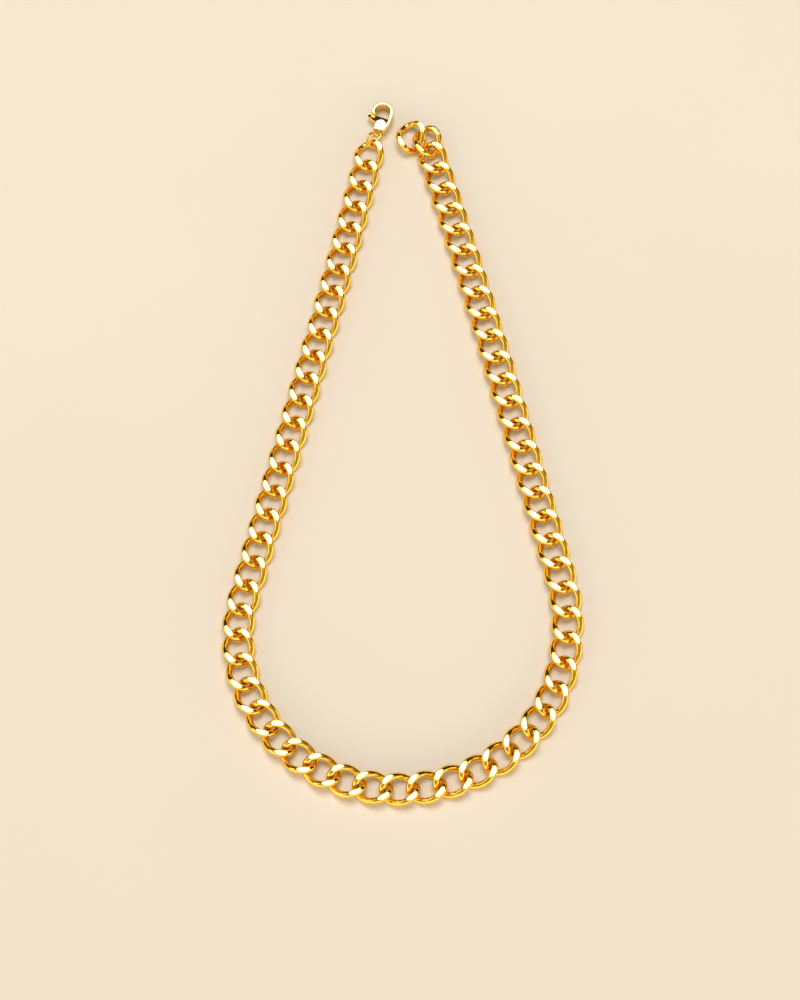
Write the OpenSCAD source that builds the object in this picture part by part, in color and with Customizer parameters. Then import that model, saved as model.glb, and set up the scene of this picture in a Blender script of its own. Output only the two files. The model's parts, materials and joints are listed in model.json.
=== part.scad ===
// Curb chain necklace laid open on a table, with a lobster clasp on a jump ring.
// Twisted oval links of round wire with flats cut on their high spots.
// Z is up and Y runs from the bottom of the loop to its two ends. Millimetres.

/* [Chain links] */
// distance from one link to the next along the chain
pitch = 6.8; // [5.2:0.1:9]
// thickness of the round wire
wire = 1.8; // [1.3:0.05:2.4]
// outside width of a link across the chain
link_width = 8.7; // [7:0.1:12]
// twist of a link from one end to the other, in degrees
twist = 90; // [70:1:100]
// height of the chain between its ground flats
chain_height = 3.5; // [2.6:0.05:5]
// play between two linked wires
play = 0.28; // [0.12:0.01:0.5]

/* [How the chain lies] */
// turn from link to link where the clasp side's strand runs into the round bottom, in degrees
turn_clasp_side = 9.7; // [7:0.1:11]
// turn from link to link on the clasp side of the round bottom, in degrees
turn_clasp_bottom = 9.4; // [7:0.1:11]
// turn from link to link on the free side of the round bottom, in degrees
turn_free_bottom = 8.5; // [7:0.1:11]
// turn from link to link where the free side's bottom rises, in degrees
turn_free_rise = 9.6; // [7:0.1:11]
// turn from link to link where the free side's strand runs into the round bottom, in degrees
turn_free_side = 7.7; // [7:0.1:11]
// slow turn of the clasp side's strand towards its top, in degrees a link
turn_clasp_strand = -0.2; // [-0.5:0.05:0.5]
// slow turn of the free side's strand towards its top, in degrees a link
turn_free_strand = 0.2; // [-0.5:0.05:0.5]
// heading of the bottom link, in degrees
bottom_heading = 0.7; // [-5:0.1:5]

/* [Jump ring] */
// outside diameter of the jump ring
ring_size = 4.8; // [4:0.1:7]
// thickness of the jump ring's wire
ring_wire = 0.7; // [0.5:0.05:1]

/* [Clasp] */
// length of the clasp from its eye to the top of the hook
clasp_length = 12.1; // [10.5:0.1:16]
// outside width of the hook
hook_width = 6.2; // [5.2:0.1:8]
// thickness of the hook's band in the plane of the clasp
hook_band = 0.95; // [0.7:0.05:1.3]
// height of the clasp off the table
clasp_height = 3.1; // [2.4:0.1:3.6]
// diameter of the rivet that the lever turns on
rivet_size = 0.8; // [0.6:0.05:1.1]
// play of the lever on its rivet and between its walls, on each side
lever_play = 0.05; // [0.03:0.01:0.08]

/* [Hidden] */
gold = [0.93, 0.72, 0.28];
pale_gold = [0.95, 0.8, 0.45];
spring_steel = [0.62, 0.6, 0.56];
$fn = 48;

// ---- one link, its long axis along X, centred on the origin ----
half_twist = twist / 2;
half_long = (pitch + wire + play) / 2;
half_wide = (link_width - wire) / 2;

function unit(v) = v / norm(v);

// the wire's middle line, from the link's end to the middle of its side
end_point = [half_long, 0, 0];
end_way = [0, cos(half_twist), -sin(half_twist)];
side_point = [0, half_wide, 0];
side_slope = atan(half_wide * half_twist * PI / 180 / half_long);
side_way = [-cos(side_slope), 0, sin(side_slope)];

// two arcs that meet smoothly join those points: their corner points are equally far away
chord = side_point - end_point;
arc_a = 2 * (end_way * side_way) - 2;
arc_b = -2 * (chord * (end_way + side_way));
arc_c = chord * chord;
reach = (-arc_b - sqrt(arc_b * arc_b - 4 * arc_a * arc_c)) / (2 * arc_a);
corner_1 = end_point + reach * end_way;
corner_2 = side_point - reach * side_way;
middle = (corner_1 + corner_2) / 2;

// every second arc is a hair thinner and runs on into its neighbours, which joins them
hair = wire / 60;
run_on = wire / 12;

// a piece of round wire that follows an arc from one point by its corner to the next point
module bent_wire(from, corner, to, thin = 0, on = 0) {
    way_in = unit(corner - from);
    way_out = unit(to - corner);
    turn = acos(way_in * way_out);
    radius = norm(corner - from) / tan(turn / 2);
    inward = unit(way_out - way_in * (way_in * way_out));
    up = cross(-inward, way_in);
    at = from + radius * inward;
    more = on / radius * 180 / PI;
    multmatrix([
        [-inward[0], way_in[0], up[0], at[0]],
        [-inward[1], way_in[1], up[1], at[1]],
        [-inward[2], way_in[2], up[2], at[2]],
        [0, 0, 0, 1]
    ])
    rotate([0, 0, -more])
    rotate_extrude(angle = turn + 2 * more, $fn = 72)
    translate([radius, 0])
    circle(d = wire - thin, $fn = 32);
}

module half_loop() {
    bent_wire(end_point, corner_1, middle);
    bent_wire(middle, corner_2, side_point, hair, run_on);
    rotate([0, 180, 0]) {
        bent_wire(middle, corner_2, side_point);
        bent_wire(end_point, corner_1, middle, hair, run_on);
    }
}

module oval_link() {
    intersection() {
        union() {
            half_loop();
            rotate([0, 0, 180]) half_loop();
        }
        translate([-2 * half_long, -2 * half_long, -chain_height / 2])
        cube([4 * half_long, 4 * half_long, chain_height]);
    }
}

// ---- where each link lies, counted from the clasp to the free end ----
bottom_link = 32;
last_run_link = 63;

// turn from a link to the one after it
function turn_after(k) =
    k < 10 ? turn_clasp_strand :
    k >= 21 && k < 25 ? turn_clasp_side :
    k >= 25 && k < 32 ? turn_clasp_bottom :
    k >= 32 && k < 36 ? turn_free_bottom :
    k >= 36 && k < 40 ? turn_free_rise :
    k >= 40 && k < 44 ? turn_free_side :
    k >= 52 ? turn_free_strand :
    0;

function way_angle(k) =
    k == bottom_link ? bottom_heading :
    k > bottom_link ? way_angle(k - 1) + turn_after(k - 1) :
    way_angle(k + 1) - turn_after(k);

function along(angle) = [cos(angle), sin(angle), 0];

function place(k) =
    k == bottom_link ? [0, 0, 0] :
    k > bottom_link ? place(k - 1) + pitch / 2 * (along(way_angle(k - 1)) + along(way_angle(k))) :
    place(k + 1) - pitch / 2 * (along(way_angle(k + 1)) + along(way_angle(k)));

// half of a link's middle line, and how far the link reaches from its centre at an angle to its long axis
outline = [
    for (t = [0:0.05:1]) arc_spot(end_point, corner_1, middle, t),
    for (t = [0:0.05:1]) arc_spot(middle, corner_2, side_point, t)
];
function arc_spot(from, corner, to, t) =
    let (
        way_in = unit(corner - from),
        way_out = unit(to - corner),
        turn = acos(way_in * way_out),
        radius = norm(corner - from) / tan(turn / 2),
        inward = unit(way_out - way_in * (way_in * way_out))
    )
    from + radius * inward - radius * cos(t * turn) * inward + radius * sin(t * turn) * way_in;
function link_reach(angle) =
    wire / 2 + max([for (p = outline) abs(p[0] * cos(angle)) + abs(p[1] * sin(angle))]);

mid_z = chain_height / 2;

// ---- the two free links past the run, pushed together and turned aside ----
second_last = [0.845 * pitch, 0, 0.065 * chain_height];
second_last_turn = [5.6, 2.7, -17];
last = [1.263 * pitch, 0.468 * link_width, 0.083 * chain_height];
last_turn = [4, -1.2, -30];

// ---- jump ring, from the first link's free end ----
ring_radius = (ring_size - ring_wire) / 2;
ring_play = 0.2;
first_end = place(1) - half_long * along(way_angle(1));
ring_angle = way_angle(1) + 166;
ring_centre = first_end + (ring_radius - (wire + ring_wire) / 2 - ring_play) * along(ring_angle);
ring_z = max(mid_z, ring_radius * sin(45) + ring_wire / 2 + 0.03);

// ---- clasp, its eye on the origin and its hook along X ----
eye_wire = 0.5;
eye_play = 0.68;
eye_radius = ring_wire / 2 + eye_wire / 2 + eye_play;
hook_radius = hook_width / 2;
hole_radius = hook_radius - hook_band;
hook_x = clasp_length - eye_radius - eye_wire / 2 - hook_radius;
clasp_angle = way_angle(1) + 178;
clasp_z = clasp_height / 2;
eye_at = ring_centre + ring_radius * along(ring_angle);

// the outside of the body curves smoothly from the eye to the hook
side_radius = 3.4 * hook_radius;
tail_radius = 0.27 * hook_radius;
near_eye = side_radius - tail_radius;
near_hook = side_radius - hook_radius;
tail_start = eye_radius - 0.1;
side_x = (near_eye * near_eye - near_hook * near_hook + hook_x * hook_x) / (2 * hook_x);
side_y = sqrt(near_eye * near_eye - side_x * side_x);

// the lever's rivet, and the round shoulders that its head slides on
gate_low = [hook_x - 0.587 * hook_radius, -hole_radius];
gate_high = [hook_x - 0.313 * hook_radius, 0.923 * hook_radius];
rivet_x = 0.41 * hook_x;
rivet_y = -0.16 * hook_radius;
shoulder = min(0.55 * hook_radius, 0.67 * (gate_low[0] - rivet_x));
head_gap = 0.1;
tongue = 0.32 * clasp_height;
pocket = tongue + 2 * lever_play;
hub_radius = rivet_size / 2 + 0.4;
spring_wire = 0.25;
spring_radius = hub_radius + 0.22;
pocket_back = spring_radius + spring_wire / 2 + 0.2;

// the gate's straight top runs from the spine to the tip of the hook
function gate_at(y) = gate_low[0] + (y - gate_low[1]) * (gate_high[0] - gate_low[0]) / (gate_high[1] - gate_low[1]);

// the whole necklace is moved so that the middle of its outline lies on the origin
far_left = min([for (k = [18:26]) place(k)[0] - link_reach(way_angle(k))]);
far_right = max([for (k = [38:46]) place(k)[0] + link_reach(way_angle(k))]);
hook_at = eye_at + hook_x * along(clasp_angle);
far_up = hook_at[1] + hook_radius;
far_down = -link_reach(90 - bottom_heading);
centre = [(far_left + far_right) / 2, (far_up + far_down) / 2, 0];

module to_clasp() {
    translate([eye_at[0], eye_at[1], clasp_z] - centre) rotate([0, 0, clasp_angle]) children();
}

module body_outline() {
    difference() {
        union() {
            translate([hook_x, 0]) circle(r = hook_radius, $fn = 96);
            intersection() {
                translate([side_x, side_y]) circle(r = side_radius, $fn = 192);
                translate([side_x, -side_y]) circle(r = side_radius, $fn = 192);
                translate([tail_start, -hook_radius]) square([hook_x - tail_start, 2 * hook_radius]);
            }
        }
        translate([hook_x, 0]) circle(r = hole_radius, $fn = 96);
        translate(gate_low) square([hook_x - gate_low[0], hole_radius]);
        difference() {
            polygon([
                [rivet_x - 3, rivet_y + shoulder],
                [rivet_x, rivet_y + shoulder],
                [rivet_x, -hole_radius],
                gate_low,
                [gate_at(2 * hook_radius), 2 * hook_radius],
                [rivet_x - 3, 2 * hook_radius]
            ]);
            translate([rivet_x, rivet_y]) circle(r = shoulder, $fn = 72);
        }
    }
}

module clasp_body() {
    color(gold)
    to_clasp() {
        difference() {
            translate([0, 0, -clasp_height / 2]) linear_extrude(clasp_height) body_outline();
            translate([rivet_x - pocket_back, -hole_radius, -pocket / 2])
            cube([pocket_back + shoulder + 0.3, hole_radius + hook_radius, pocket]);
            translate([rivet_x, rivet_y, -clasp_height]) cylinder(d = rivet_size, h = 2 * clasp_height);
        }
        rotate_extrude($fn = 72) translate([eye_radius, 0]) circle(d = eye_wire, $fn = 32);
    }
}

// the head fills the gap between the shoulders and the gate, with the thumb nub on its free side
nub_radius = 0.45;
nub_at = gate_high + [-1.05, 0.6];
head_root = [rivet_x + 0.3, rivet_y + shoulder];

module head_outline() {
    difference() {
        union() {
            polygon([
                [gate_at(0.87 * hook_radius) - head_gap, 0.87 * hook_radius],
                [gate_at(-hole_radius + head_gap) - head_gap, -hole_radius + head_gap],
                [head_root[0], -hole_radius + head_gap],
                head_root,
                head_root + [0.3, 0.3],
                nub_at + [-0.4, 0.2],
                nub_at + [0.43, 0.1]
            ]);
            translate(nub_at) circle(r = nub_radius, $fn = 48);
        }
        translate([rivet_x, rivet_y]) circle(r = shoulder + head_gap, $fn = 72);
    }
}

// seen from the side the head is full at the shoulders and slopes down to its edge at the gate
module head_profile() {
    low = gate_low[0] - head_gap;
    crown = clasp_height / 2 - 0.12;
    edge = 0.35 * crown;
    slope_at = rivet_x + 0.3 + 0.4 * (low - rivet_x);
    polygon([
        [rivet_x - 1, -crown],
        [slope_at, -crown],
        [low + 1.2, -edge],
        [low + 2, -edge],
        [low + 2, edge],
        [low + 1.2, edge],
        [slope_at, crown],
        [rivet_x - 1, crown]
    ]);
}

module tongue_outline() {
    difference() {
        translate([rivet_x, rivet_y]) {
            circle(r = hub_radius, $fn = 48);
            translate([0, -0.7 * shoulder]) square([shoulder + head_gap + 0.3, 1.35 * shoulder]);
            rotate(104) translate([hub_radius - 0.4, -0.25]) square([spring_radius - hub_radius + 0.58, 0.5]);
        }
        translate([rivet_x, rivet_y]) circle(d = rivet_size + 2 * lever_play);
    }
}

module clasp_lever() {
    color(pale_gold)
    to_clasp() {
        intersection() {
            translate([0, 0, -clasp_height / 2]) linear_extrude(clasp_height) head_outline();
            translate([0, 2 * hook_radius, 0]) rotate([90, 0, 0]) linear_extrude(4 * hook_radius) head_profile();
        }
        translate([0, 0, -tongue / 2]) linear_extrude(tongue) tongue_outline();
    }
}

module clasp_rivet() {
    color(gold)
    to_clasp() translate([rivet_x, rivet_y, -clasp_height / 2]) cylinder(d = rivet_size, h = clasp_height);
}

module lever_spring() {
    color(spring_steel)
    to_clasp() translate([rivet_x, rivet_y, 0])
    rotate([0, 0, 124])
    rotate_extrude(angle = 134) translate([spring_radius, 0]) circle(d = spring_wire, $fn = 24);
}

module jump_ring() {
    color(gold)
    translate([ring_centre[0], ring_centre[1], ring_z] - centre)
    rotate([0, 0, ring_angle])
    rotate([45, 0, 0])
    rotate_extrude($fn = 96) translate([ring_radius, 0]) circle(d = ring_wire, $fn = 32);
}

module run_link(k) {
    translate(place(k) + [0, 0, mid_z] - centre) rotate([0, 0, way_angle(k)]) oval_link();
}

module free_link(spot, turns) {
    translate(place(last_run_link) + [0, 0, mid_z] - centre)
    rotate([0, 0, way_angle(last_run_link)])
    translate(spot)
    rotate([0, 0, turns[2]])
    rotate([0, turns[1], 0])
    rotate([turns[0], 0, 0])
    oval_link();
}

module link_01() {
    color(gold) run_link(1);
}

module link_02() {
    color(gold) run_link(2);
}

module links_03_04() {
    color(gold) {
        run_link(3);
        run_link(4);
    }
}

module link_05() {
    color(gold) run_link(5);
}

module link_06() {
    color(gold) run_link(6);
}

module links_07_08() {
    color(gold) {
        run_link(7);
        run_link(8);
    }
}

module link_09() {
    color(gold) run_link(9);
}

module link_10() {
    color(gold) run_link(10);
}

module links_11_12() {
    color(gold) {
        run_link(11);
        run_link(12);
    }
}

module link_13() {
    color(gold) run_link(13);
}

module link_14() {
    color(gold) run_link(14);
}

module links_15_16() {
    color(gold) {
        run_link(15);
        run_link(16);
    }
}

module link_17() {
    color(gold) run_link(17);
}

module link_18() {
    color(gold) run_link(18);
}

module links_19_20() {
    color(gold) {
        run_link(19);
        run_link(20);
    }
}

module link_21() {
    color(gold) run_link(21);
}

module link_22() {
    color(gold) run_link(22);
}

module link_23() {
    color(gold) run_link(23);
}

module link_24() {
    color(gold) run_link(24);
}

module link_25() {
    color(gold) run_link(25);
}

module link_26() {
    color(gold) run_link(26);
}

module link_27() {
    color(gold) run_link(27);
}

module link_28() {
    color(gold) run_link(28);
}

module link_29() {
    color(gold) run_link(29);
}

module link_30() {
    color(gold) run_link(30);
}

module link_31() {
    color(gold) run_link(31);
}

module link_32() {
    color(gold) run_link(32);
}

module link_33() {
    color(gold) run_link(33);
}

module link_34() {
    color(gold) run_link(34);
}

module link_35() {
    color(gold) run_link(35);
}

module link_36() {
    color(gold) run_link(36);
}

module link_37() {
    color(gold) run_link(37);
}

module link_38() {
    color(gold) run_link(38);
}

module link_39() {
    color(gold) run_link(39);
}

module link_40() {
    color(gold) run_link(40);
}

module link_41() {
    color(gold) run_link(41);
}

module link_42() {
    color(gold) run_link(42);
}

module link_43() {
    color(gold) run_link(43);
}

module links_44_45() {
    color(gold) {
        run_link(44);
        run_link(45);
    }
}

module link_46() {
    color(gold) run_link(46);
}

module link_47() {
    color(gold) run_link(47);
}

module links_48_49() {
    color(gold) {
        run_link(48);
        run_link(49);
    }
}

module link_50() {
    color(gold) run_link(50);
}

module link_51() {
    color(gold) run_link(51);
}

module links_52_53() {
    color(gold) {
        run_link(52);
        run_link(53);
    }
}

module link_54() {
    color(gold) run_link(54);
}

module link_55() {
    color(gold) run_link(55);
}

module links_56_57() {
    color(gold) {
        run_link(56);
        run_link(57);
    }
}

module link_58() {
    color(gold) run_link(58);
}

module link_59() {
    color(gold) run_link(59);
}

module links_60_61() {
    color(gold) {
        run_link(60);
        run_link(61);
    }
}

module link_62() {
    color(gold) run_link(62);
}

module link_63() {
    color(gold) run_link(63);
}

module link_64() {
    color(gold) free_link(second_last, second_last_turn);
}

module link_65() {
    color(gold) free_link(last, last_turn);
}

link_01();
link_02();
links_03_04();
link_05();
link_06();
links_07_08();
link_09();
link_10();
links_11_12();
link_13();
link_14();
links_15_16();
link_17();
link_18();
links_19_20();
link_21();
link_22();
link_23();
link_24();
link_25();
link_26();
link_27();
link_28();
link_29();
link_30();
link_31();
link_32();
link_33();
link_34();
link_35();
link_36();
link_37();
link_38();
link_39();
link_40();
link_41();
link_42();
link_43();
links_44_45();
link_46();
link_47();
links_48_49();
link_50();
link_51();
links_52_53();
link_54();
link_55();
links_56_57();
link_58();
link_59();
links_60_61();
link_62();
link_63();
link_64();
link_65();
jump_ring();
clasp_body();
clasp_lever();
clasp_rivet();
lever_spring();
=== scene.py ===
"""Curb chain necklace laid open on a pale table: every link, the jump ring and the lobster clasp, as
finished meshes that ride on the frame's bodies."""

import json
import math

import bmesh
import bpy
import numpy as np
from mathutils import Matrix, Vector


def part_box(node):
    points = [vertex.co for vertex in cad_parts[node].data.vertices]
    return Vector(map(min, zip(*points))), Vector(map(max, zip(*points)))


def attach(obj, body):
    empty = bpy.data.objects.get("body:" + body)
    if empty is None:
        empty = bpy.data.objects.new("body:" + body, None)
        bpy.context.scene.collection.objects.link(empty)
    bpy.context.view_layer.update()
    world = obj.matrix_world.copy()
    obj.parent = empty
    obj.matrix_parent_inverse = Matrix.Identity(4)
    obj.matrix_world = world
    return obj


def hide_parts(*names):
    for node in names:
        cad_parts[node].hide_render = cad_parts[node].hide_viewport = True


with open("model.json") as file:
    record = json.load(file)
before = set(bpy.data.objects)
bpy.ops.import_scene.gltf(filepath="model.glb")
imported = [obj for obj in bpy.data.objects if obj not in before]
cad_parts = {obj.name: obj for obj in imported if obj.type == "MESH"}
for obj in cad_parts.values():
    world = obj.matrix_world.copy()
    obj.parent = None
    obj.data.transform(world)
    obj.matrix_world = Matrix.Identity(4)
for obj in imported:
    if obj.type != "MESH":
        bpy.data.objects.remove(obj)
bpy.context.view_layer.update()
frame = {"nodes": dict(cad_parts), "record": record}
MM = 0.001

# ---- driving sizes of the chain and the clasp, in millimetres, as in the CAD part ----
PITCH = 6.8
WIRE = 1.8
LINK_WIDTH = 8.7
TWIST = math.radians(90)
CHAIN_HEIGHT = 3.5
PLAY = 0.28
RING_SIZE = 4.8
RING_WIRE = 0.7
RING_ROLL = math.radians(45)
CLASP_LENGTH = 12.1
HOOK_WIDTH = 6.2
HOOK_BAND = 0.95
CLASP_HEIGHT = 3.1
RIVET_SIZE = 0.8
LEVER_PLAY = 0.05
EYE_WIRE = 0.5
EYE_PLAY = 0.68

LAST_RUN_LINK = 63
# the two free links: where they lie against the last link of the run, and their turns about X, Y and Z
FREE_LINKS = {
    64: ((0.845 * PITCH, 0, 0.065 * CHAIN_HEIGHT), (5.6, 2.7, -17)),
    65: ((1.263 * PITCH, 0.468 * LINK_WIDTH, 0.083 * CHAIN_HEIGHT), (4, -1.2, -30)),
}


def unit(v):
    return v / np.linalg.norm(v)


# ---- camera, floor and light ----
CAMERA_PLACE = (-0.78 * MM, -197.3 * MM, 467.1 * MM)
CAMERA_TILT = math.radians(20.845)
CAMERA_LENS = 67.6
TABLE_HALF = 4.0
TABLE_DROP = 0.03 * MM
# how bright the room is at each height of view, from the horizon at 0 to straight up at 1
WORLD_FRONT = ((0.0, 1.6), (0.2, 2.5), (0.42, 1.5), (0.62, 0.4), (0.85, 0.4), (1.0, 0.9))
WORLD_BACK = ((0.0, 1.2), (0.10, 0.8), (0.22, 0.05), (0.7, 0.05), (1.0, 0.9))


def make_camera():
    """Looks down at the table from the side of the chain's round bottom."""
    data = bpy.data.cameras.new("camera")
    data.lens = CAMERA_LENS
    data.sensor_width = 36
    data.clip_start = 0.01
    data.clip_end = 50
    camera = bpy.data.objects.new("camera", data)
    camera.location = CAMERA_PLACE
    camera.rotation_euler = (CAMERA_TILT, 0, 0)
    bpy.context.scene.collection.objects.link(camera)
    bpy.context.scene.camera = camera


def area_light(name, place, target, size_x, size_y, radiance, colour):
    """A rectangular softbox that looks at target; radiance is how bright its face is."""
    data = bpy.data.lights.new(name, "AREA")
    data.shape = "RECTANGLE"
    data.size = size_x
    data.size_y = size_y
    data.color = colour
    data.energy = radiance * math.pi * size_x * size_y
    light = bpy.data.objects.new(name, data)
    light.location = place
    way = Vector(target) - Vector(place)
    light.rotation_euler = way.to_track_quat("-Z", "Y").to_euler()
    bpy.context.scene.collection.objects.link(light)


def node_tree(owner):
    """An empty node tree for a world or a material."""
    owner.use_nodes = True
    tree = owner.node_tree
    tree.nodes.clear()
    return tree


def gradient(tree, height, stops):
    """A colour ramp over how high a direction points; stops are (height, brightness) with a warm white."""
    ramp = tree.nodes.new("ShaderNodeValToRGB")
    tree.links.new(height, ramp.inputs["Fac"])
    points = ramp.color_ramp.elements
    while len(points) < len(stops):
        points.new(0.5)
    for point, (position, brightness) in zip(points, stops):
        point.position = position
        point.color = (brightness, brightness * 0.85, brightness * 0.63, 1)
    return ramp.outputs["Color"]


def make_world():
    """A studio: a bright low front, a dim upper front, and darkness behind the table below the softbox."""
    world = bpy.data.worlds.new("studio")
    bpy.context.scene.world = world
    tree = node_tree(world)
    coordinates = tree.nodes.new("ShaderNodeTexCoord")
    split = tree.nodes.new("ShaderNodeSeparateXYZ")
    background = tree.nodes.new("ShaderNodeBackground")
    output = tree.nodes.new("ShaderNodeOutputWorld")
    tree.links.new(coordinates.outputs["Generated"], split.inputs[0])
    front = gradient(tree, split.outputs["Z"], WORLD_FRONT)
    back = gradient(tree, split.outputs["Z"], WORLD_BACK)
    towards_back = tree.nodes.new("ShaderNodeMapRange")
    towards_back.interpolation_type = "SMOOTHSTEP"
    towards_back.inputs["From Min"].default_value = -0.12
    towards_back.inputs["From Max"].default_value = 0.22
    tree.links.new(split.outputs["Y"], towards_back.inputs["Value"])
    mix = tree.nodes.new("ShaderNodeMix")
    mix.data_type = "RGBA"
    tree.links.new(towards_back.outputs["Result"], mix.inputs["Factor"])
    tree.links.new(front, mix.inputs["A"])
    tree.links.new(back, mix.inputs["B"])
    tree.links.new(mix.outputs["Result"], background.inputs["Color"])
    tree.links.new(background.outputs[0], output.inputs["Surface"])


def make_floor():
    """A matt cream table top with faint warm patches."""
    mesh = bpy.data.meshes.new("table_top")
    corners = [(x * TABLE_HALF, y * TABLE_HALF, 0) for x, y in ((-1, -1), (1, -1), (1, 1), (-1, 1))]
    mesh.from_pydata(corners, [], [(0, 1, 2, 3)])
    floor = bpy.data.objects.new("table_top", mesh)
    floor.location.z = -TABLE_DROP
    bpy.context.scene.collection.objects.link(floor)
    material = bpy.data.materials.new("cream_table")
    tree = node_tree(material)
    output = tree.nodes.new("ShaderNodeOutputMaterial")
    shader = tree.nodes.new("ShaderNodeBsdfPrincipled")
    shader.inputs["Roughness"].default_value = 0.75
    shader.inputs["Specular IOR Level"].default_value = 0.15
    tree.links.new(shader.outputs[0], output.inputs["Surface"])
    coordinates = tree.nodes.new("ShaderNodeTexCoord")
    patches = tree.nodes.new("ShaderNodeTexNoise")
    patches.inputs["Scale"].default_value = 9
    patches.inputs["Detail"].default_value = 3
    tree.links.new(coordinates.outputs["Object"], patches.inputs["Vector"])
    ramp = tree.nodes.new("ShaderNodeValToRGB")
    ramp.color_ramp.elements[0].position = 0.25
    ramp.color_ramp.elements[0].color = (0.885, 0.84, 0.768, 1)
    ramp.color_ramp.elements[1].position = 0.75
    ramp.color_ramp.elements[1].color = (0.90, 0.86, 0.795, 1)
    tree.links.new(patches.outputs["Fac"], ramp.inputs["Fac"])
    tree.links.new(ramp.outputs["Color"], shader.inputs["Base Color"])
    mesh.materials.append(material)


# ---- materials ----
def gold(name, deep, bright, ground, roughness, scratches):
    """Polished metal: the tone drifts a little from place to place, fine rubbing marks dull it, and flats
    that were ground (the mesh's "ground" attribute) take a paler tone and a slightly duller surface."""
    material = bpy.data.materials.new(name)
    tree = node_tree(material)
    new, link = tree.nodes.new, tree.links.new
    output = new("ShaderNodeOutputMaterial")
    shader = new("ShaderNodeBsdfPrincipled")
    shader.inputs["Metallic"].default_value = 1.0
    link(shader.outputs[0], output.inputs["Surface"])
    coordinates = new("ShaderNodeTexCoord")

    def noise(scale_per_mm, detail, stretch=(1, 1, 1)):
        mapping = new("ShaderNodeMapping")
        mapping.inputs["Scale"].default_value = [scale_per_mm * s / MM for s in stretch]
        link(coordinates.outputs["Object"], mapping.inputs["Vector"])
        texture = new("ShaderNodeTexNoise")
        texture.inputs["Scale"].default_value = 1
        texture.inputs["Detail"].default_value = detail
        link(mapping.outputs["Vector"], texture.inputs["Vector"])
        return texture.outputs["Fac"]

    def ramp(source, low, high, from_value, to_value):
        node = new("ShaderNodeMapRange")
        node.inputs["From Min"].default_value = low
        node.inputs["From Max"].default_value = high
        node.inputs["To Min"].default_value = from_value
        node.inputs["To Max"].default_value = to_value
        link(source, node.inputs["Value"])
        return node.outputs["Result"]

    def mix_colour(factor, a, b):
        node = new("ShaderNodeMix")
        node.data_type = "RGBA"
        link(factor, node.inputs["Factor"])
        for socket, colour in ((node.inputs["A"], a), (node.inputs["B"], b)):
            if isinstance(colour, tuple):
                socket.default_value = (*colour, 1)
            else:
                link(colour, socket)
        return node.outputs["Result"]

    def added(a, b, operation="ADD"):
        node = new("ShaderNodeMath")
        node.operation = operation
        node.use_clamp = True
        link(a, node.inputs[0])
        if isinstance(b, float):
            node.inputs[1].default_value = b
        else:
            link(b, node.inputs[1])
        return node.outputs[0]

    drift = ramp(noise(0.22, 3), 0.3, 0.7, 0, 1)
    tone = mix_colour(drift, deep, bright)
    flats = new("ShaderNodeAttribute")
    flats.attribute_name = "ground"
    tone = mix_colour(flats.outputs["Fac"], tone, ground)
    worn = ramp(noise(2.6, 4), 0.56, 0.78, 0, 0.35)
    tone = mix_colour(worn, tone, bright)
    link(tone, shader.inputs["Base Color"])

    smudges = ramp(noise(0.5, 4), 0.35, 0.75, roughness, roughness * 2.4)
    marks = ramp(noise(5.0, 2, (1, 1, 0.25)), 0.58, 0.8, 0, roughness * 1.6)
    rough = added(smudges, marks)
    dulled = added(flats.outputs["Fac"], 0.035, "MULTIPLY")
    link(added(rough, dulled), shader.inputs["Roughness"])

    waves = new("ShaderNodeBump")
    waves.inputs["Strength"].default_value = 0.35
    waves.inputs["Distance"].default_value = 0.03 * MM
    link(noise(0.7, 1), waves.inputs["Height"])
    scores = new("ShaderNodeBump")
    scores.inputs["Strength"].default_value = scratches
    scores.inputs["Distance"].default_value = 0.004 * MM
    link(noise(7.0, 3, (1, 0.2, 1)), scores.inputs["Height"])
    link(waves.outputs["Normal"], scores.inputs["Normal"])
    link(scores.outputs["Normal"], shader.inputs["Normal"])
    return material


# ---- making a piece of the object ----
def add_piece(name, mesh, body, nodes, material):
    """mesh is in metres in the row frame; the piece stands for the CAD nodes and rides on their body."""
    piece = bpy.data.objects.new(name, mesh)
    mesh.materials.append(material)
    for face in mesh.polygons:
        face.use_smooth = True
    bpy.context.scene.collection.objects.link(piece)
    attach(piece, body)
    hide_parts(*nodes)
    return piece


def ring_mesh(name, rings, closed=True):
    """A tube's mesh from its rings of points, as an array [ring, place round it, xyz] in metres."""
    count, around = rings.shape[:2]
    mesh = bpy.data.meshes.new(name)
    faces = []
    for i in range(count if closed else count - 1):
        j = (i + 1) % count
        for a in range(around):
            b = (a + 1) % around
            faces.append((i * around + a, i * around + b, j * around + b, j * around + a))
    if not closed:
        faces.append(tuple(range(around - 1, -1, -1)))
        faces.append(tuple(range((count - 1) * around, count * around)))
    mesh.from_pydata(rings.reshape(-1, 3).tolist(), [], faces)
    mesh.update()
    return mesh


# ---- the wire of a link: its long axis along X, its centre on the origin, in millimetres ----
def arc(start, corner, end, count):
    """Points and directions along the arc that leaves start towards corner and reaches end."""
    way_in, way_out = unit(corner - start), unit(end - corner)
    turn = math.acos(way_in @ way_out)
    radius = np.linalg.norm(corner - start) / math.tan(turn / 2)
    inward = unit(way_out - way_in * (way_in @ way_out))
    angles = np.linspace(0, turn, count, endpoint=False)[:, None]
    points = start + radius * (inward * (1 - np.cos(angles)) + way_in * np.sin(angles))
    ways = way_in * np.cos(angles) + inward * np.sin(angles)
    return points, ways


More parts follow.
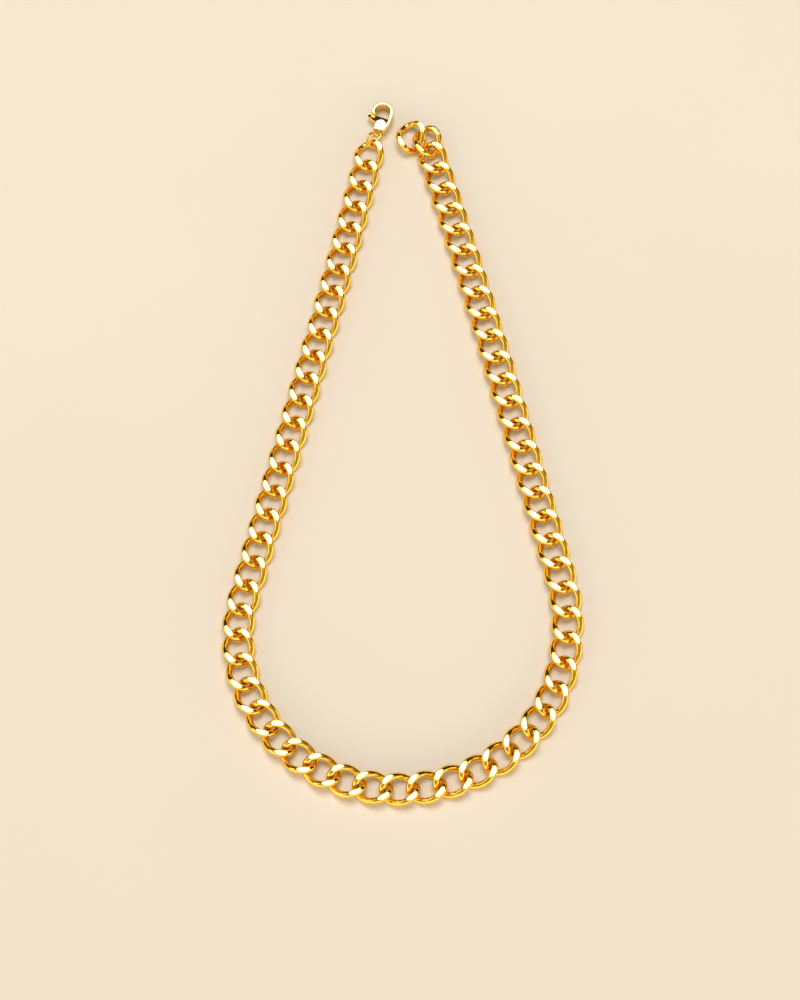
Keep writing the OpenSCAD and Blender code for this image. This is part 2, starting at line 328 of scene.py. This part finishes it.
def link_line():
    """The middle line of a link's wire: a quarter of two arcs, turned over and round for the other three."""
    half_long = (PITCH + WIRE + PLAY) / 2
    half_wide = (LINK_WIDTH - WIRE) / 2
    end_point = np.array([half_long, 0, 0])
    end_way = np.array([0, math.cos(TWIST / 2), -math.sin(TWIST / 2)])
    side_point = np.array([0, half_wide, 0])
    slope = math.atan(half_wide * TWIST / 2 / half_long)
    side_way = np.array([-math.cos(slope), 0, math.sin(slope)])
    chord = side_point - end_point
    a = 2 * (end_way @ side_way) - 2
    b = -2 * (chord @ (end_way + side_way))
    reach = (-b - math.sqrt(b * b - 4 * a * (chord @ chord))) / (2 * a)
    corner_1 = end_point + reach * end_way
    corner_2 = side_point - reach * side_way
    middle = (corner_1 + corner_2) / 2
    first, first_ways = arc(end_point, corner_1, middle, 18)
    second, second_ways = arc(middle, corner_2, side_point, 18)
    points = np.vstack([first, second, side_point])
    ways = np.vstack([first_ways, second_ways, side_way])
    over = np.array([-1, 1, -1])
    half = np.vstack([points[:-1], (points * over)[:0:-1]])
    half_ways = np.vstack([ways[:-1], -(ways * over)[:0:-1]])
    round_z = np.array([-1, -1, 1])
    return np.vstack([half, half * round_z]), np.vstack([half_ways, half_ways * round_z])


EDGE_ROLL = 0.045
# a flat's half angle round the wire stops here, or a little before it where the plane clears the wire
WIDEST_FLAT = math.radians(87)
EASE_BACK = math.radians(25)
# where the points lie across a flat and along the round of the wire between two flats, closest at the edges
FLAT_STEPS = (0, 0.05, 0.12, 0.3, 0.5, 0.7, 0.88, 0.95)
SIDE_STEPS = (0, 0.03, 0.08, 0.18, 0.3, 0.43, 0.57, 0.7, 0.82, 0.92, 0.97)


def edge_angle(share):
    """Where round the wire a flat starts, from how far up the wire's section its plane cuts; past the wire it
    eases back so that the mesh stays even."""
    limit = math.sin(WIDEST_FLAT)
    if share < limit:
        return math.asin(share)
    return WIDEST_FLAT - min(EASE_BACK, 1.6 * (share - limit))


def link_shape():
    """The surface of a link as rings of points, with flats ground on its top and underside and their edges
    softly rolled; and how much of each point is on a flat."""
    points, ways = link_line()
    radius, half_height = WIRE / 2, CHAIN_HEIGHT / 2
    up = np.array([0, 0, 1.0])
    rings, ground = [], []
    for point, way in zip(points, ways):
        inward = unit(np.cross(up, way))
        raised = np.cross(way, inward)
        top = edge_angle((half_height - point[2]) / (radius * raised[2]))
        low = edge_angle((half_height + point[2]) / (radius * raised[2]))
        zones = (
            (-low, top, SIDE_STEPS),
            (top, math.pi - top, FLAT_STEPS),
            (math.pi - top, math.pi + low, SIDE_STEPS),
            (math.pi + low, 2 * math.pi - low, FLAT_STEPS),
        )
        spread = [start + (end - start) * np.array(steps) for start, end, steps in zones]
        angles = np.concatenate(spread)[:, None]
        ring = point + radius * (np.cos(angles) * inward + np.sin(angles) * raised)
        height = np.abs(ring[:, 2])
        below = half_height - height
        kept = (below + np.sqrt(below * below + EDGE_ROLL * EDGE_ROLL)) / 2
        ground.append(np.clip((kept - below) / (2 * EDGE_ROLL), 0, 1))
        ring[:, 2] = np.sign(ring[:, 2]) * (half_height - kept)
        rings.append(ring)
    return np.array(rings), np.array(ground)


LINK_RINGS, LINK_GROUND = link_shape()


def add_link(number, turn, place, body, node, material):
    """turn is a 3x3 rotation and place the link's centre in millimetres."""
    name = f"chain_link_{number:02d}"
    mesh = ring_mesh(name, (LINK_RINGS @ turn.T + place) * MM)
    flats = mesh.attributes.new("ground", "FLOAT", "POINT")
    flats.data.foreach_set("value", LINK_GROUND.astype(np.float32).ravel())
    add_piece(name, mesh, body, [node], material)


def turned(axis, degrees):
    """A 3x3 rotation about one axis."""
    return np.array(Matrix.Rotation(math.radians(degrees), 3, axis))


def add_links(material):
    """Each link of the run lies between its two fold joints; the free links lie as the last run link says."""
    owner = {}
    for node in frame["nodes"]:
        if node.startswith("link"):
            for number in node.split("_")[1:]:
                owner[int(number)] = node
    folds = {}
    for joint in frame["record"]["behaviour"]["joints"]:
        if joint["name"].startswith("fold_"):
            folds[int(joint["name"].split("_")[1])] = np.array(joint["pos_m"]) / MM
    for number in sorted(owner):
        if number not in folds and number < LAST_RUN_LINK:
            folds[number] = (folds[number - 1] + folds[number + 1]) / 2
    folds[0] = 2 * folds[1] - folds[2]
    folds[LAST_RUN_LINK] = 2 * folds[LAST_RUN_LINK - 1] - folds[LAST_RUN_LINK - 2]
    for number in range(1, LAST_RUN_LINK + 1):
        way = folds[number] - folds[number - 1]
        place = (folds[number] + folds[number - 1]) / 2
        turn = turned("Z", math.degrees(math.atan2(way[1], way[0])))
        add_link(number, turn, place, owner[number], owner[number], material)
    for number, (spot, (about_x, about_y, about_z)) in FREE_LINKS.items():
        spot_turn = turn @ turned("Z", about_z) @ turned("Y", about_y) @ turned("X", about_x)
        add_link(number, spot_turn, place + turn @ np.array(spot), owner[number], owner[number], material)


# ---- jump ring ----
RING_GAP = 0.03
RING_CUT_AT = math.radians(100)
# how far from the cut, as an angle, the ring's ends start to round off
RING_END = 0.02


def joint_place(name):
    """A joint's place in the record, in millimetres."""
    for joint in frame["record"]["behaviour"]["joints"]:
        if joint["name"] == name:
            return np.array(joint["pos_m"]) / MM
    raise ValueError(name)


def tube_along(points, ways, radius, around, taper=None):
    """Rings of points round a line; taper scales the radius ring by ring."""
    up = np.array([0, 0, 1.0])
    angles = np.linspace(0, 2 * math.pi, around, endpoint=False)[:, None]
    rings = []
    for i, (point, way) in enumerate(zip(points, ways)):
        side = unit(np.cross(up, way)) if abs(way[2]) < 0.99 else np.array([1.0, 0, 0])
        other = np.cross(way, side)
        r = radius * (1 if taper is None else taper[i])
        rings.append(point + r * (np.cos(angles) * side + np.sin(angles) * other))
    return np.array(rings)


def add_jump_ring(material):
    """A ring of round wire whose two cut ends meet with a hair of a gap."""
    low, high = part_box("jump_ring")
    centre = np.array((low + high) / 2) / MM
    eye = joint_place("clasp_on_ring")
    way = math.atan2(eye[1] - centre[1], eye[0] - centre[0])
    radius = (RING_SIZE - RING_WIRE) / 2
    first = RING_GAP / radius / 2
    last = 2 * math.pi - first
    angles = np.concatenate([[first], np.linspace(first + RING_END, last - RING_END, 118), [last]])
    taper = np.ones(len(angles))
    taper[0] = taper[-1] = 0.9
    points, ways = circle_line(radius, angles + RING_CUT_AT)
    rings = tube_along(points, ways, RING_WIRE / 2, 24, taper)
    turn = turned("Z", math.degrees(way)) @ turned("X", math.degrees(RING_ROLL))
    mesh = ring_mesh("jump_ring_wire", (rings @ turn.T + centre) * MM, closed=False)
    add_piece("jump_ring_wire", mesh, "jump_ring", ["jump_ring"], material)


# ---- clasp, in its own frame: its eye on the origin and its hook along X, in millimetres ----
EYE_RADIUS = RING_WIRE / 2 + EYE_WIRE / 2 + EYE_PLAY
HOOK_RADIUS = HOOK_WIDTH / 2
HOLE_RADIUS = HOOK_RADIUS - HOOK_BAND
HOOK_X = CLASP_LENGTH - EYE_RADIUS - EYE_WIRE / 2 - HOOK_RADIUS
SIDE_RADIUS = 3.4 * HOOK_RADIUS
TAIL_RADIUS = 0.27 * HOOK_RADIUS
TAIL_START = EYE_RADIUS - 0.1
GATE_LOW = np.array([HOOK_X - 0.587 * HOOK_RADIUS, -HOLE_RADIUS])
GATE_HIGH = np.array([HOOK_X - 0.313 * HOOK_RADIUS, 0.923 * HOOK_RADIUS])
RIVET = np.array([0.41 * HOOK_X, -0.16 * HOOK_RADIUS])
SHOULDER = min(0.55 * HOOK_RADIUS, 0.67 * (GATE_LOW[0] - RIVET[0]))
HEAD_GAP = 0.1
TONGUE = 0.32 * CLASP_HEIGHT
POCKET = TONGUE + 2 * LEVER_PLAY
HUB_RADIUS = RIVET_SIZE / 2 + 0.4
SPRING_WIRE = 0.25
SPRING_RADIUS = HUB_RADIUS + 0.22
POCKET_BACK = SPRING_RADIUS + SPRING_WIRE / 2 + 0.2
# the gate slopes down towards the hook from here, by SLOPE
SLOPE_START = RIVET[0] + RIVET_SIZE / 2 + 0.25
SLOPE = 0.38
HEAD_DROP = 0.12
NUB_RADIUS = 0.45
RIVET_DOME = 0.1
# past the clasp's sides, for cutting tools
FAR = 2 * HOOK_RADIUS
# the even mesh's step, and how many rounds of smoothing roll the edges of the body and of the gate
FINEST = 0.055
BODY_ROUNDS = 70
HEAD_ROUNDS = 9


def circle_points(centre, radius, start=0, end=360, count=96):
    """Points on a circle, the end left out on a whole turn."""
    angles = np.radians(np.linspace(start, end, count, endpoint=abs(end - start) < 360))
    return [(centre[0] + radius * math.cos(a), centre[1] + radius * math.sin(a)) for a in angles]


def scratch_object(mesh):
    """An object to work on; its mesh goes into a piece later."""
    solid = bpy.data.objects.new(mesh.name, mesh)
    bpy.context.scene.collection.objects.link(solid)
    return solid


def prism(outline, low, high):
    """A closed solid with this outline, from low to high."""
    bm = bmesh.new()
    bottom = [bm.verts.new((x, y, low)) for x, y in outline]
    top = [bm.verts.new((x, y, high)) for x, y in outline]
    bm.faces.new(bottom[::-1])
    bm.faces.new(top)
    for i in range(len(outline)):
        j = (i + 1) % len(outline)
        bm.faces.new((bottom[i], bottom[j], top[j], top[i]))
    bmesh.ops.recalc_face_normals(bm, faces=bm.faces)
    mesh = bpy.data.meshes.new("prism")
    bm.to_mesh(mesh)
    bm.free()
    return scratch_object(mesh)


def applied(solid):
    """Makes the modifiers' result the object's own mesh."""
    graph = bpy.context.evaluated_depsgraph_get()
    mesh = bpy.data.meshes.new_from_object(solid.evaluated_get(graph))
    solid.modifiers.clear()
    solid.data = mesh
    return solid


def combined(solid, other, operation):
    """Adds, takes away or keeps the share of the other solid, which is used up."""
    modifier = solid.modifiers.new("combine", "BOOLEAN")
    modifier.object = other
    modifier.operation = operation
    modifier.solver = "EXACT"
    applied(solid)
    bpy.data.objects.remove(other)
    return solid


def cast(solid, rounds):
    """Gives the solid an even fine mesh and rolls its edges the way casting and tumbling do."""
    grid = solid.modifiers.new("grid", "REMESH")
    grid.mode = "VOXEL"
    grid.voxel_size = FINEST
    applied(solid)
    roll = solid.modifiers.new("roll", "SMOOTH")
    roll.factor = 0.6
    roll.iterations = rounds
    return applied(solid)


def outer_outline():
    """The clasp body's outside: two slow arcs from the eye that run smoothly into the hook's circle."""
    near_eye = SIDE_RADIUS - TAIL_RADIUS
    near_hook = SIDE_RADIUS - HOOK_RADIUS
    side_x = (near_eye**2 - near_hook**2 + HOOK_X**2) / (2 * HOOK_X)
    side_y = math.sqrt(near_eye**2 - side_x**2)
    meets = math.degrees(math.atan2(side_y, HOOK_X - side_x))
    begins = math.degrees(math.acos((TAIL_START - side_x) / SIDE_RADIUS))
    upper = circle_points((side_x, -side_y), SIDE_RADIUS, begins, meets, 40)
    hook = circle_points((HOOK_X, 0), HOOK_RADIUS, meets, -meets, 80)
    lower = [(x, -y) for x, y in upper[::-1]]
    return upper + hook[1:-1] + lower


def gate_x(y):
    """Where the gate's opening line is at this y."""
    return GATE_LOW[0] + (y - GATE_LOW[1]) * (GATE_HIGH[0] - GATE_LOW[0]) / (GATE_HIGH[1] - GATE_LOW[1])


def circle_line(radius, angles):
    """Points and directions along a flat circle round the origin."""
    angles = angles[:, None]
    zero = np.zeros_like(angles)
    points = radius * np.hstack([np.cos(angles), np.sin(angles), zero])
    return points, np.hstack([-np.sin(angles), np.cos(angles), zero])


def eye_solid():
    """The ring of round wire at the clasp's tail."""
    points, ways = circle_line(EYE_RADIUS, np.linspace(0, 2 * math.pi, 72, endpoint=False))
    return scratch_object(ring_mesh("eye", tube_along(points, ways, EYE_WIRE / 2, 20)))


def body_solid():
    """Hook, spine and two shoulders round the lever's pocket, with an eye of round wire at the tail."""
    half, past = CLASP_HEIGHT / 2, CLASP_HEIGHT
    body = prism(outer_outline(), -half, half)
    combined(body, prism(circle_points((HOOK_X, 0), HOLE_RADIUS), -past, past), "DIFFERENCE")
    inner_corner = [GATE_LOW, (HOOK_X, -HOLE_RADIUS), (HOOK_X, 0), (GATE_LOW[0], 0)]
    combined(body, prism(inner_corner, -past, past), "DIFFERENCE")
    root = RIVET[1] + SHOULDER
    around = [
        (RIVET[0] - 3, root),
        (RIVET[0], root),
        (RIVET[0], -HOLE_RADIUS),
        tuple(GATE_LOW),
        (gate_x(FAR), FAR),
        (RIVET[0] - 3, FAR),
    ]
    mouth = prism(around, -past, past)
    combined(mouth, prism(circle_points(RIVET, SHOULDER), -2 * past, 2 * past), "DIFFERENCE")
    combined(body, mouth, "DIFFERENCE")
    cast(body, BODY_ROUNDS)
    low, high = RIVET[0] - POCKET_BACK, RIVET[0] + SHOULDER + 0.3
    pocket = [(low, -HOLE_RADIUS), (high, -HOLE_RADIUS), (high, FAR), (low, FAR)]
    combined(body, prism(pocket, -POCKET / 2, POCKET / 2), "DIFFERENCE")
    bore = RIVET_SIZE / 2 + 0.02
    combined(body, prism(circle_points(RIVET, bore, count=48), -past, past), "DIFFERENCE")
    combined(body, eye_solid(), "UNION")
    return body


def lever_solid():
    """The gate: a head that slopes down to its edge, a round thumb nub, and a tongue round the rivet."""
    half, past = CLASP_HEIGHT / 2, CLASP_HEIGHT
    nub = GATE_HIGH + (-1.05, 0.6)
    root = RIVET + (0.3, SHOULDER)
    top = 0.87 * HOOK_RADIUS
    bottom = -HOLE_RADIUS + HEAD_GAP
    outline = [
        (gate_x(top) - HEAD_GAP, top),
        tuple(nub + (0.43, 0.1)),
        tuple(nub + (-0.4, 0.2)),
        tuple(root + (0.3, 0.3)),
        tuple(root),
        (root[0], bottom),
        (gate_x(bottom) - HEAD_GAP, bottom),
    ]
    head = prism(outline, -half, half)
    combined(head, prism(circle_points(nub, NUB_RADIUS, count=40), -half, half), "UNION")
    combined(head, prism(circle_points(RIVET, SHOULDER + HEAD_GAP), -past, past), "DIFFERENCE")
    low = GATE_LOW[0] - HEAD_GAP
    crown = half - HEAD_DROP
    edge = crown - (low + 1 - SLOPE_START) * SLOPE
    side = [
        (RIVET[0] - 1, -crown),
        (SLOPE_START, -crown),
        (low + 1, -edge),
        (low + 1, edge),
        (SLOPE_START, crown),
        (RIVET[0] - 1, crown),
    ]
    profile = prism(side, -FAR, FAR)
    profile.data.transform(Matrix.Rotation(math.radians(90), 4, "X"))
    combined(head, profile, "INTERSECT")
    cast(head, HEAD_ROUNDS)
    tongue = prism(circle_points(RIVET, HUB_RADIUS, count=48), -TONGUE / 2, TONGUE / 2)
    reach = SHOULDER + HEAD_GAP + 0.3
    low_y = RIVET[1] - 0.7 * SHOULDER
    bar = [
        (RIVET[0], low_y),
        (RIVET[0] + reach, low_y),
        (RIVET[0] + reach, low_y + 1.35 * SHOULDER),
        (RIVET[0], low_y + 1.35 * SHOULDER),
    ]
    combined(tongue, prism(bar, -TONGUE / 2, TONGUE / 2), "UNION")
    bore = prism(circle_points(RIVET, RIVET_SIZE / 2 + LEVER_PLAY, count=48), -past, past)
    combined(tongue, bore, "DIFFERENCE")
    return combined(head, tongue, "UNION")


def rivet_solid():
    """A plain pin with softly domed ends."""
    half = CLASP_HEIGHT / 2
    radius = RIVET_SIZE / 2
    top = [(radius * share, half - RIVET_DOME * drop) for share, drop in ((1, 1), (0.92, 0.35), (0.6, 0.1))]
    rings = []
    for r, z in [(r, -z) for r, z in top[::-1]] + top:
        rings.append([(x, y, z) for x, y in circle_points(RIVET, r, count=36)])
    return scratch_object(ring_mesh("pin", np.array(rings), closed=False))


def spring_solid():
    """A bowed wire round the lever's hub."""
    points, ways = circle_line(SPRING_RADIUS, np.radians(np.linspace(124, 258, 40)))
    rings = tube_along(points + (RIVET[0], RIVET[1], 0), ways, SPRING_WIRE / 2, 14)
    return scratch_object(ring_mesh("wire", rings, closed=False))


def add_clasp_piece(name, solid, body, node, material):
    """Takes the solid from the clasp's frame to the row frame and makes it a piece."""
    eye = joint_place("clasp_on_ring")
    rivet = joint_place("lever_on_rivet")
    turn = math.atan2(rivet[1] - eye[1], rivet[0] - eye[0]) - math.atan2(RIVET[1], RIVET[0])
    mesh = solid.data
    bpy.data.objects.remove(solid)
    mesh.transform(Matrix.Scale(MM, 4) @ Matrix.Translation(eye) @ Matrix.Rotation(turn, 4, "Z"))
    mesh.name = name
    mesh.materials.clear()
    piece = add_piece(name, mesh, body, [node], material)
    mesh.set_sharp_from_angle(angle=math.radians(40))
    weights = piece.modifiers.new("even_flats", "WEIGHTED_NORMAL")
    weights.keep_sharp = True


def add_clasp(material, spring_material):
    """The body and its pin ride on the clasp, the gate on its own body; the spring stays with the clasp."""
    add_clasp_piece("clasp_hook_body", body_solid(), "clasp", "clasp_body", material)
    add_clasp_piece("clasp_gate", lever_solid(), "clasp_lever", "clasp_lever", material)
    add_clasp_piece("clasp_pin", rivet_solid(), "clasp", "clasp_rivet", material)
    add_clasp_piece("clasp_spring", spring_solid(), "clasp", "lever_spring", spring_material)


make_camera()
make_world()
make_floor()
area_light("key", (0, 1.15, 2.75), (0, 0, 0), 1.9, 1.6, 4.4, (1.0, 0.985, 0.96))
area_light("left_fill", (-2.2, 0.5, 1.6), (0, 0, 0), 1.2, 1.2, 1.3, (1.0, 0.95, 0.88))

chain_gold = gold("chain_gold", (0.93, 0.56, 0.075), (1.0, 0.68, 0.13), (1.0, 0.76, 0.27), 0.045, 0.25)
clasp_gold = gold("clasp_gold", (0.92, 0.63, 0.20), (0.98, 0.73, 0.30), (1.0, 0.77, 0.33), 0.05, 0.25)
spring_steel = gold("spring_steel", (0.52, 0.50, 0.47), (0.62, 0.60, 0.56), (0.6, 0.58, 0.54), 0.22, 0.35)
add_links(chain_gold)
add_jump_ring(chain_gold)
add_clasp(clasp_gold, spring_steel)

view = bpy.context.scene.view_settings
view.view_transform = "Standard"
